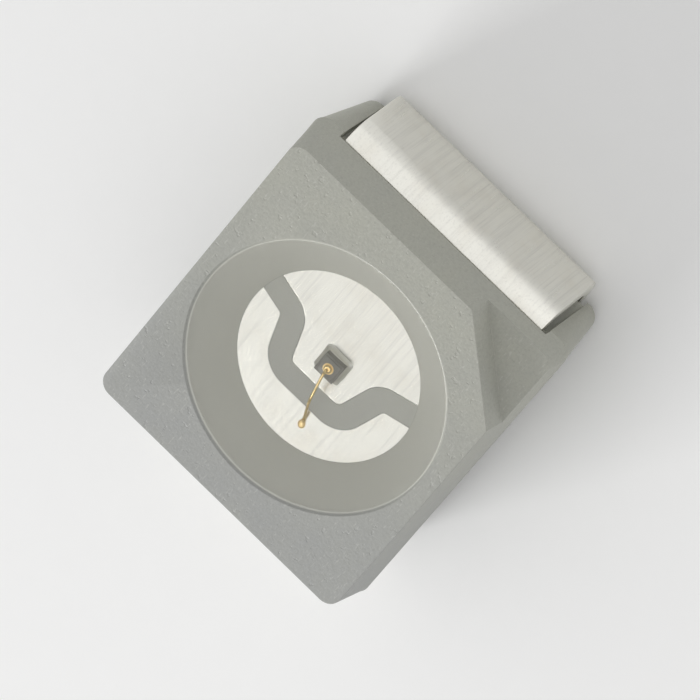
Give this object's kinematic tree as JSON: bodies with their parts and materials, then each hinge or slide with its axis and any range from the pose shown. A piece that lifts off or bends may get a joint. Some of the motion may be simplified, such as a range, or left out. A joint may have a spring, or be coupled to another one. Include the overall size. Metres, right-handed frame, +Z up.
{
  "type": "smd led",
  "caption": "Top-view surface-mount LED: moulded reflector housing with a clear-filled round cup, a cut polarity corner and solder leads folded under both ends.",
  "frame": {"origin": "middle of the footprint on the board, in the plane of the soles of both solder feet", "axes": "+Z up out of the reflector cup; +X towards the cathode end, which has the cut polarity corner at its -Y side; Y across the leads"},
  "size_m": [0.0036, 0.0028, 0.0014],
  "materials": {
    "housing": "matte light grey moulded thermoplastic",
    "lead_frame": "satin silver plate",
    "die_attach": "silver-filled epoxy, matte",
    "led_die": "sawn semiconductor, dark satin",
    "gold": "bright gold",
    "encapsulant": "clear cast epoxy, glossy"
  },
  "bodies": {
    "root": {"housing": "housing", "cathode_lead": "lead_frame", "anode_lead": "lead_frame", "die_attach": "die_attach", "led_die": "led_die", "die_bond_pad": "gold", "bond_wire": "gold", "encapsulant": "encapsulant"}
  },
  "joints": []
}
